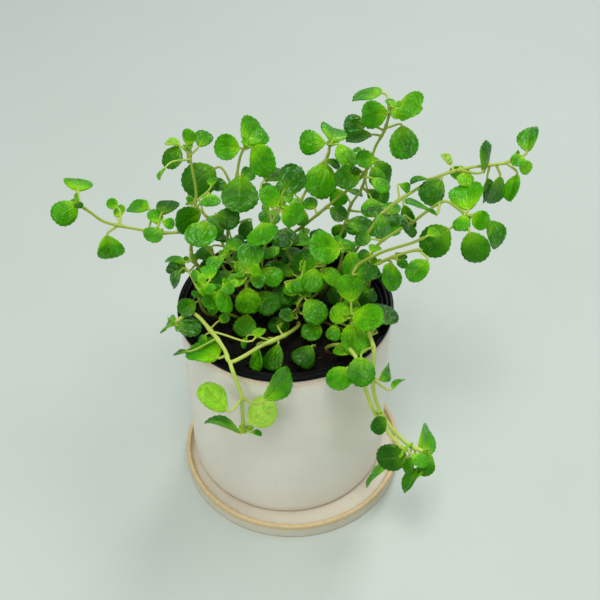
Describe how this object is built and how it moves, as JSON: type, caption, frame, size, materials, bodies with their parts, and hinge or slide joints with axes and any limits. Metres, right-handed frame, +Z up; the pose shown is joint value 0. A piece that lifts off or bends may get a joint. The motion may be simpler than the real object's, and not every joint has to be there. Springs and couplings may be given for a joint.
{
  "type": "potted pilea plant",
  "caption": "Bushy small-leaved pilea with round scalloped leaves on trailing and upright stems, in a nursery pot set in a plain cylindrical ceramic pot on a shallow saucer.",
  "frame": {"origin": "centre of the saucer's flat underside, on the surface it stands on", "axes": "+Z up; +X to the right as the picture shows the plant, along its longest spread; +Y away from the picture's viewer"},
  "size_m": [0.1797, 0.122, 0.1688],
  "materials": {
    "saucer_ceramic": "satin off-white glaze with a bare sandy rim",
    "pot_ceramic": "satin speckled off-white glaze with a bare sandy rim",
    "nursery_plastic": "glossy black",
    "soil": "rough, moist",
    "foliage": "glossy, dark green to lime at the tips"
  },
  "bodies": {
    "root": {"saucer": "saucer_ceramic", "pot_ceramic": "pot_ceramic", "nursery_pot": "nursery_plastic", "soil": "soil", "stem_centre_front": "foliage", "stem_centre_right": "foliage", "stem_centre": "foliage", "stem_centre_left": "foliage", "stem_middle": "foliage", "stem_front_low": "foliage", "stem_left_front": "foliage", "stem_left_edge": "foliage", "stem_bottom_left": "foliage", "stem_drop_outer": "foliage", "stem_drop_inner": "foliage", "stem_far_left": "foliage", "stem_top_left": "foliage", "stem_left_tall": "foliage", "stem_left_low": "foliage", "stem_middle_tall": "foliage", "stem_top": "foliage", "stem_right_tall": "foliage", "stem_right_long": "foliage", "stem_right_middle": "foliage", "stem_right_low": "foliage", "stem_right_under": "foliage", "stem_right_back": "foliage", "stem_inner_left": "foliage", "stem_inner_back": "foliage", "stem_inner_right": "foliage", "stem_inner_middle": "foliage", "stem_back_left": "foliage", "stem_back_middle": "foliage", "stem_back_right": "foliage"}
  },
  "joints": []
}
